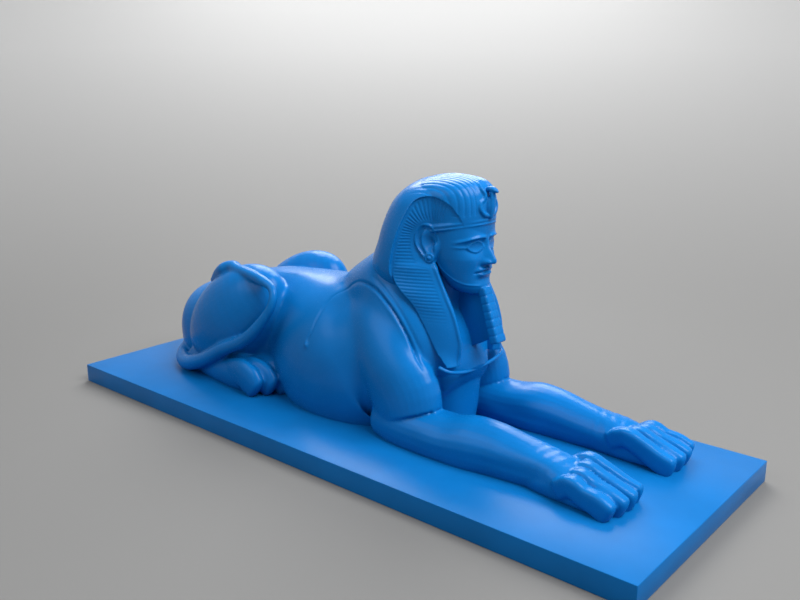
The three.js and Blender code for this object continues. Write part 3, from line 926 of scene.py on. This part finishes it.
def thin_out(piece, most):
    """Merges the flattest triangles until the piece has no more than the given number."""
    piece.data.calc_loop_triangles()
    count = len(piece.data.loop_triangles)
    if count > most:
        modifier = piece.modifiers.new("thin out", "DECIMATE")
        modifier.ratio = most / count
        carry_out(piece)


def smooth_shading(piece, sharpest):
    """Shades the piece smooth, but for edges that turn by more than sharpest degrees."""
    mesh = piece.data
    mesh.polygons.foreach_set("use_smooth", np.ones(len(mesh.polygons), bool))
    mesh.set_sharp_from_angle(angle=np.radians(sharpest))
    mesh.update()


# ---- the two pieces' carving

# Lines as the slant view shows them, [x, height there]: the line round the shoulder from
# behind the arm forward along the cape, and the strip that runs beside it
SHOULDER_LINE = [
    [-30, -0.7], [-29, 4.2], [-27.4, 8.5], [-26.4, 15],
    [-25.6, 22], [-24, 35.5], [-19, 43], [-10.5, 47.2],
    [-1, 48.2], [8, 47.2], [17, 45.2], [26.6, 42],
    [35, 37.5], [43, 32.2], [51, 25.6], [56, 20.5],
    [62, 14.1], [69, 8.1], [75, 4.4], [80, 2],
]
STRIP_LINE = [
    [16, 51.5], [24, 48.4], [33, 43.6], [42, 38],
    [50, 31.6], [57, 24.6], [64, 16.6], [70, 10.8],
]

# The gaps between the toes, counted in toe spacings from the leg's middle
TOE_GAPS = [-0.95, 0.05, 1.05]

# The beard's strap as seen from the side, [x, z]
STRAP_LINE = [
    [61, 122], [65, 116], [72, 110.5], [79, 107.4],
    [86, 106],
]


def slant_view(points):
    """The points seen square on from the side and above at 45 degrees, the way that the
    shoulder faces: x, and (z - |y|) / sqrt 2."""
    return np.column_stack([points[:, 0], (points[:, 2] - np.abs(points[:, 1])) * np.sqrt(0.5)])


def flesh_carving(points, normals):
    """How far each point of the lion moves out along its normal: the line round the
    shoulder, fine behind and deep along the cape, the strip beside it, the forelegs' long
    muscles, the wrists' wrinkles and the grooves between the toes."""
    x, y, z = points.T
    aside = np.abs(y)
    shoulder_view = slant_view(points)
    facing = fade(normals[:, 2] + np.abs(normals[:, 1]), 0.3, 0.6)
    far, share = nearness(shoulder_view, through(SHOULDER_LINE, 60))
    deep = 0.7 + 0.9 * fade(share, 0.42, 0.55)
    line = -deep * bell(far, 0.9) * fade(share, 0.0, 0.02) * fade(1 - share, 0, 0.06)
    lip = 0.3 * bell(far - 2.0, 1.1) * fade(share, 0.45, 0.6) * fade(58 - x, 0, 14)
    line = (line + lip) * facing * fade(aside, 14, 20) * fade(z, 8, 20) * fade(72 - x, 0, 8)
    drop_x, drop_w = SHOULDER_LINE[0]
    drop = 1.3 * bell(np.hypot(x - drop_x, 0.8 * (shoulder_view[:, 1] - drop_w)), 1.6) * facing
    drop = drop * fade(aside, 40, 46)
    far, share = nearness(shoulder_view, through(STRIP_LINE, 30))
    strip = -0.55 * bell(far, 1.0) * fade(share, 0, 0.1) * fade(1 - share, 0, 0.1) * facing
    strip = strip * fade(aside, 22, 28)
    leg = fade(x, 70, 90) * fade(178 - x, 0, 16) * fade(normals[:, 2], -0.3, 0.1)
    round_leg = np.arctan2(aside - LEG_ASIDE, z - 4)
    muscle = 0.30 * np.cos(7 * round_leg + 0.05 * x) * leg
    wrist = fade(x, 150, 160) * fade(186 - x, 0, 8) * fade(normals[:, 2], 0.0, 0.4)
    wrinkle = 0.12 * np.cos(0.9 * (x + 0.35 * aside)) * wrist
    paw = fade(x, 182, 190) * fade(PAW_TIP_X + 2 - x, 0, 3)
    paw = paw * fade(normals[:, 2] + normals[:, 0], 0.1, 0.5)
    spread = 1 + 0.012 * np.clip(x - 190, 0, 30)
    groove = sum(bell(aside - LEG_ASIDE - gap * TOE_SPACING * spread, 0.8) for gap in TOE_GAPS)
    return line + drop + strip + muscle + wrinkle - 0.9 * groove * paw


def head_carving(points, normals):
    """How far each point of the head moves out along its normal: the crown's stripes, which
    run fore and aft, the side folds' pleats, which lie level below the ear's top and fan out
    above it, and the beard's strap, raised along the jaw."""
    x, y, z = points.T
    aside = np.abs(y)
    band_top = BAND_LOW + 6.5 + BAND_FALL * (x - BAND_FRONT_X)
    edge_z = np.interp(x, FOLD_EDGE[FOLD_CREST:, 0], FOLD_EDGE[FOLD_CREST:, 1])
    crown_top = fade(z - edge_z, 0.8, 2.0) * fade(z, band_top, band_top + 2) * fade(x, 40, 60)
    stripe = -0.29 * bell((aside / STRIPE_PITCH + 0.5) % 1 - 0.5, 0.2) * crown_top
    clear = fade(np.hypot(y / 11.5, (z - 162) / 13), 0.85, 1.0)
    clear = clear + fade(BAND_FRONT_X - 12 - x, 0, 5)
    stripe = stripe * np.clip(clear, 0, 1) * fade(28 - aside, 0, 1.5)
    rows = LAPPET_ROWS[::-1]
    edge_x = np.interp(z, rows[:, 0], rows[:, 1])
    last_x = np.interp(z, [50, 118, 123, 143, 148, 170], [82, 60, 55, 55, 69, 76])
    last_x = np.where(z < 118, np.interp(z, rows[:, 0], rows[:, 3]) - 3.6, last_x)
    on_sheet = fade(x - edge_x, 0.4, 1.6) * fade(last_x - x, 0, 2.5) * fade(aside, 20, 21)
    on_sheet = on_sheet * fade(np.abs(normals[:, 1]) + 0.6 * normals[:, 0], 0.1, 0.5)
    on_sheet = on_sheet * fade(edge_z - z, 0.6, 2.5)
    fan = np.arctan2(z - FAN_AT[1], FAN_AT[0] - x)
    level = np.where(z < FAN_AT[1], (z - FAN_AT[1]) / PLEAT_PITCH, fan * 19.0 / PLEAT_PITCH)
    clear_ear = fade(np.hypot((x - EAR_AT[0]) / 9.4, (z - EAR_AT[2]) / 14.6), 1.0, 1.15)
    faint = fade(z, 78, 98)
    far, share = nearness(points[:, [0, 2]], through(STRAP_LINE, 30))
    strap = 0.55 * bell(far, 0.7) * fade(share, 0, 0.05)
    strap = strap * fade(23 - aside, 0, 0.6) * fade(aside, 3, 6)
    depth = 0.28 + 0.14 * fade(z, 118, 126)
    pleat = -depth * bell(level % 1 - 0.5, 0.26) * on_sheet
    pleat = pleat * np.where(z > 118, clear_ear, 1) * faint
    return stripe + pleat + strap


def soft_regions(points):
    """Where the lion is drawn smoother, each place from 0 to 1: the broad shoulder and flank,
    and the bell-shaped valley in the side behind each arm."""
    x, z = points[:, 0], points[:, 2]
    aside = np.abs(points[:, 1])
    valley = bell(np.hypot(x - 22, z - 40), 26) * fade(aside, 40, 50) * fade(48 - x, 0, 12)
    shoulder = fade(x, -62, -46) * fade(70 - x, 0, 22) * fade(z, 44, 64)
    flank = fade(x, -84, -66) * fade(-30 - x, 0, 16) * fade(aside + z, 70, 90)
    return np.clip(shoulder + flank, 0, 1), np.clip(1.4 * valley, 0, 1)


def lion_piece():
    """The lion: its forms fused to one skin, the shoulders, flanks and the valley behind each
    arm drawn smooth, then carved and cut off at the slab's top."""
    forms = [barrel(), mane(), tail(), chest()]
    forms += [pair(shoulder_blade), pair(haunch), pair(hind_foot), pair(arm), pair(toes)]
    piece = new_object("sphinx_body", joined(*forms))
    fuse(piece, FLESH_VOXEL)
    mesh = piece.data
    points = points_of(mesh)
    broad, valley = soft_regions(points)
    points = soften(mesh, points, 1.0, 3)
    points = soften(mesh, points, broad, BROAD_ROUNDS, shrink=0.42)
    points = soften(mesh, points, valley, VALLEY_ROUNDS, shrink=STEP_BACK)
    place_points(mesh, points)
    normals = normals_of(mesh)
    points = points_of(mesh)
    points = points + normals * flesh_carving(points, normals)[:, None]
    points[:, 2] = np.maximum(points[:, 2], -FOOT_BURIED)
    place_points(mesh, points)
    trim_at_slab(piece)
    thin_out(piece, PIECE_TRIANGLES)
    smooth_shading(piece, 50)
    return piece


def trim_at_slab(piece):
    """Cuts off what lies below the slab's top, so that the piece stands on it."""
    below = box_form((-400, -200, -100), (400, 200, 0))
    boolean(piece, new_object("below slab", below), "DIFFERENCE")


def box_form(low, high):
    """A block between two corners."""
    (x0, y0, z0), (x1, y1, z1) = low, high
    foot = [[x0, y0, z0], [x1, y0, z0], [x1, y1, z0], [x0, y1, z0]]
    top = [[x, y, z1] for x, y, _ in foot]
    return skin(np.array([foot, top], float))


def head_piece():
    """The head: the hood and crown hollowed at the sides, fused with the face, ears, band,
    lappets, beard and cobra, then carved."""
    hood = new_object("sphinx_head", headcloth())
    boolean(hood, new_object("crown", crown()), "UNION")
    for side in (-1, 1):
        boolean(hood, new_object("pit", side_pit(side)), "DIFFERENCE")
    rest = joined(face(), headband(), collar(), beard(), cobra(), pair(ear), pair(lappet))
    other = new_object("rest", rest)
    bpy.context.view_layer.update()
    with bpy.context.temp_override(
        active_object=hood, object=hood, selected_objects=[hood, other],
        selected_editable_objects=[hood, other],
    ):
        bpy.ops.object.join()
    fuse(hood, HEAD_VOXEL)
    mesh = hood.data
    points = soften(mesh, points_of(mesh), 1.0, 1)
    place_points(mesh, points)
    normals = normals_of(mesh)
    points = points + normals * head_carving(points, normals)[:, None]
    place_points(mesh, points)
    thin_out(hood, PIECE_TRIANGLES)
    smooth_shading(hood, 50)
    return hood


def slab_piece():
    """The slab: its box with the edges taken off by a small radius."""
    form = box_form(SLAB_LOW - FIGURE_ORIGIN, SLAB_HIGH - FIGURE_ORIGIN)
    piece = new_object("slab", form)
    modifier = piece.modifiers.new("edges", "BEVEL")
    modifier.width = 0.5 * MM
    modifier.segments = 3
    modifier.limit_method = "ANGLE"
    carry_out(piece)
    smooth_shading(piece, 40)
    return piece


# ---- the plastic


def wire(material, *wires):
    """Joins the material's sockets: a wire is a node, its output, a node and its input."""
    for source, output, target, entry in wires:
        material.node_tree.links.new(source.outputs[output], target.inputs[entry])


def blue_plastic(name, colour, roughness):
    """Satin plastic: a body colour that drifts a little over centimetres, a fine moulded
    grain in the bump and the gloss."""
    material = bpy.data.materials.new(name)
    material.use_nodes = True
    nodes = material.node_tree.nodes
    shader = nodes["Principled BSDF"]
    place = nodes.new("ShaderNodeTexCoord")
    drift = nodes.new("ShaderNodeTexNoise")
    drift.inputs["Scale"].default_value = 28.0
    drift.inputs["Detail"].default_value = 3.0
    tint = nodes.new("ShaderNodeValToRGB")
    tint.color_ramp.elements[0].position = 0.3
    tint.color_ramp.elements[1].position = 0.7
    tint.color_ramp.elements[0].color = [*(0.92 * c for c in colour), 1]
    tint.color_ramp.elements[1].color = [*(min(1.0, 1.06 * c) for c in colour), 1]
    grain = nodes.new("ShaderNodeTexNoise")
    grain.inputs["Scale"].default_value = 1400.0
    grain.inputs["Detail"].default_value = 2.0
    gloss = nodes.new("ShaderNodeMapRange")
    gloss.inputs["To Min"].default_value = roughness - 0.05
    gloss.inputs["To Max"].default_value = roughness + 0.05
    bump = nodes.new("ShaderNodeBump")
    bump.inputs["Strength"].default_value = 0.12
    bump.inputs["Distance"].default_value = 0.0002
    wire(
        material,
        (place, "Object", drift, "Vector"),
        (place, "Object", grain, "Vector"),
        (drift, "Fac", tint, "Fac"),
        (tint, "Color", shader, "Base Color"),
        (grain, "Fac", gloss, "Value"),
        (gloss, "Result", shader, "Roughness"),
        (grain, "Fac", bump, "Height"),
        (bump, "Normal", shader, "Normal"),
    )
    shader.inputs["IOR"].default_value = 1.45
    shader.inputs["Specular IOR Level"].default_value = 0.15
    return material


def dress(piece, material, slot, *replaced):
    """Gives the piece its material and its place on the root, and hides the nodes it stands
    in for. The slot is not used."""
    piece.data.materials.clear()
    piece.data.materials.append(material)
    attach(piece, "root")
    if replaced:
        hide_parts(*replaced)


figure_blue = blue_plastic("figure_blue", FIGURE_BLUE, 0.26)
slab_blue = blue_plastic("slab_blue", SLAB_BLUE, 0.30)

dress(lion_piece(), figure_blue, "figure", "sphinx")
dress(head_piece(), figure_blue, "figure")
dress(slab_piece(), slab_blue, "slab", "plinth")


# ---- floor, light and camera


def floor():
    """A wide pale bowl: flat under the slab, and at u beyond the flat rising as the slope
    times u^3 / (u^2 + ease^2), which starts with no crease and ends as a plain cone; its rim
    goes straight down to a flat underside. Painted light: darker low down and paler as it rises."""
    around = 72
    turn = 2 * np.pi * np.arange(around) / around
    out = FLOOR_BOWL * np.linspace(0, 1, 60) ** 1.6
    rise = FLOOR_SLOPE * out**3 / (out**2 + FLOOR_EASE**2)
    radius = np.concatenate([[1.0, 300.0], FLOOR_FLAT + out, [FLOOR_RIM, FLOOR_RIM, 1.0]])
    height = np.concatenate([[0.0, 0.0], rise, [FLOOR_RIM_TOP, FLOOR_UNDERSIDE, FLOOR_UNDERSIDE]])
    low = SLAB_LOW[2] - FIGURE_ORIGIN[2] - 0.05
    rings = np.stack([
        radius[:, None] * np.cos(turn),
        radius[:, None] * np.sin(turn),
        (height + low)[:, None] * np.ones_like(turn),
    ], axis=-1)
    piece = new_object("floor", skin(rings))
    material = bpy.data.materials.new("pale_floor")
    material.use_nodes = True
    nodes = material.node_tree.nodes
    shader = nodes["Principled BSDF"]
    shader.inputs["Roughness"].default_value = 0.8
    place = nodes.new("ShaderNodeTexCoord")
    split = nodes.new("ShaderNodeSeparateXYZ")
    # Painted light: the colour goes from dark at the floor's foot to pale up the wall, in place
    # of light on the backdrop
    shade = nodes.new("ShaderNodeValToRGB")
    shade.color_ramp.elements[0].color = FLOOR_PAINTED_DARK
    shade.color_ramp.elements[1].color = FLOOR_PAINTED_PALE
    shade.color_ramp.elements.new(0.3).color = FLOOR_PAINTED_MIDDLE
    above = nodes.new("ShaderNodeMapRange")
    above.inputs["From Min"].default_value = low * MM
    wire(
        material,
        (place, "Object", split, "Vector"),
        (split, "Z", above, "Value"),
        (above, "Result", shade, "Fac"),
        (shade, "Color", shader, "Base Color"),
    )
    piece.data.materials.append(material)
    smooth_shading(piece, 60)


def area_light(name, at, size, watts):
    """A square lamp of the given size, turned towards the figure."""
    light = bpy.data.lights.new(name, "AREA")
    light.size = size
    light.energy = watts
    lamp = bpy.data.objects.new(name, light)
    lamp.location = at
    towards = Vector(LAMP_AIM) - Vector(at)
    lamp.rotation_euler = towards.to_track_quat("-Z", "Y").to_euler()
    bpy.context.scene.collection.objects.link(lamp)


def camera():
    """A camera above the slab, off the sphinx's right front, looking a little down."""
    lens = bpy.data.cameras.new("camera")
    lens.lens = FOCAL_LENGTH
    lens.sensor_width = 36.0
    eye = bpy.data.objects.new("camera", lens)
    eye.location = CAMERA_AT
    eye.rotation_euler = Vector(CAMERA_TOWARDS).to_track_quat("-Z", "Y").to_euler()
    bpy.context.scene.collection.objects.link(eye)
    bpy.context.scene.camera = eye


floor()
for name, (at, size, watts) in LAMPS.items():
    area_light(name, at, size, watts)
camera()

world = bpy.data.worlds.new("studio")
world.use_nodes = True
background = world.node_tree.nodes["Background"]
background.inputs["Color"].default_value = (0.60, 0.61, 0.62, 1)
background.inputs["Strength"].default_value = 0.66
bpy.context.scene.world = world
bpy.context.scene.view_settings.view_transform = "Standard"
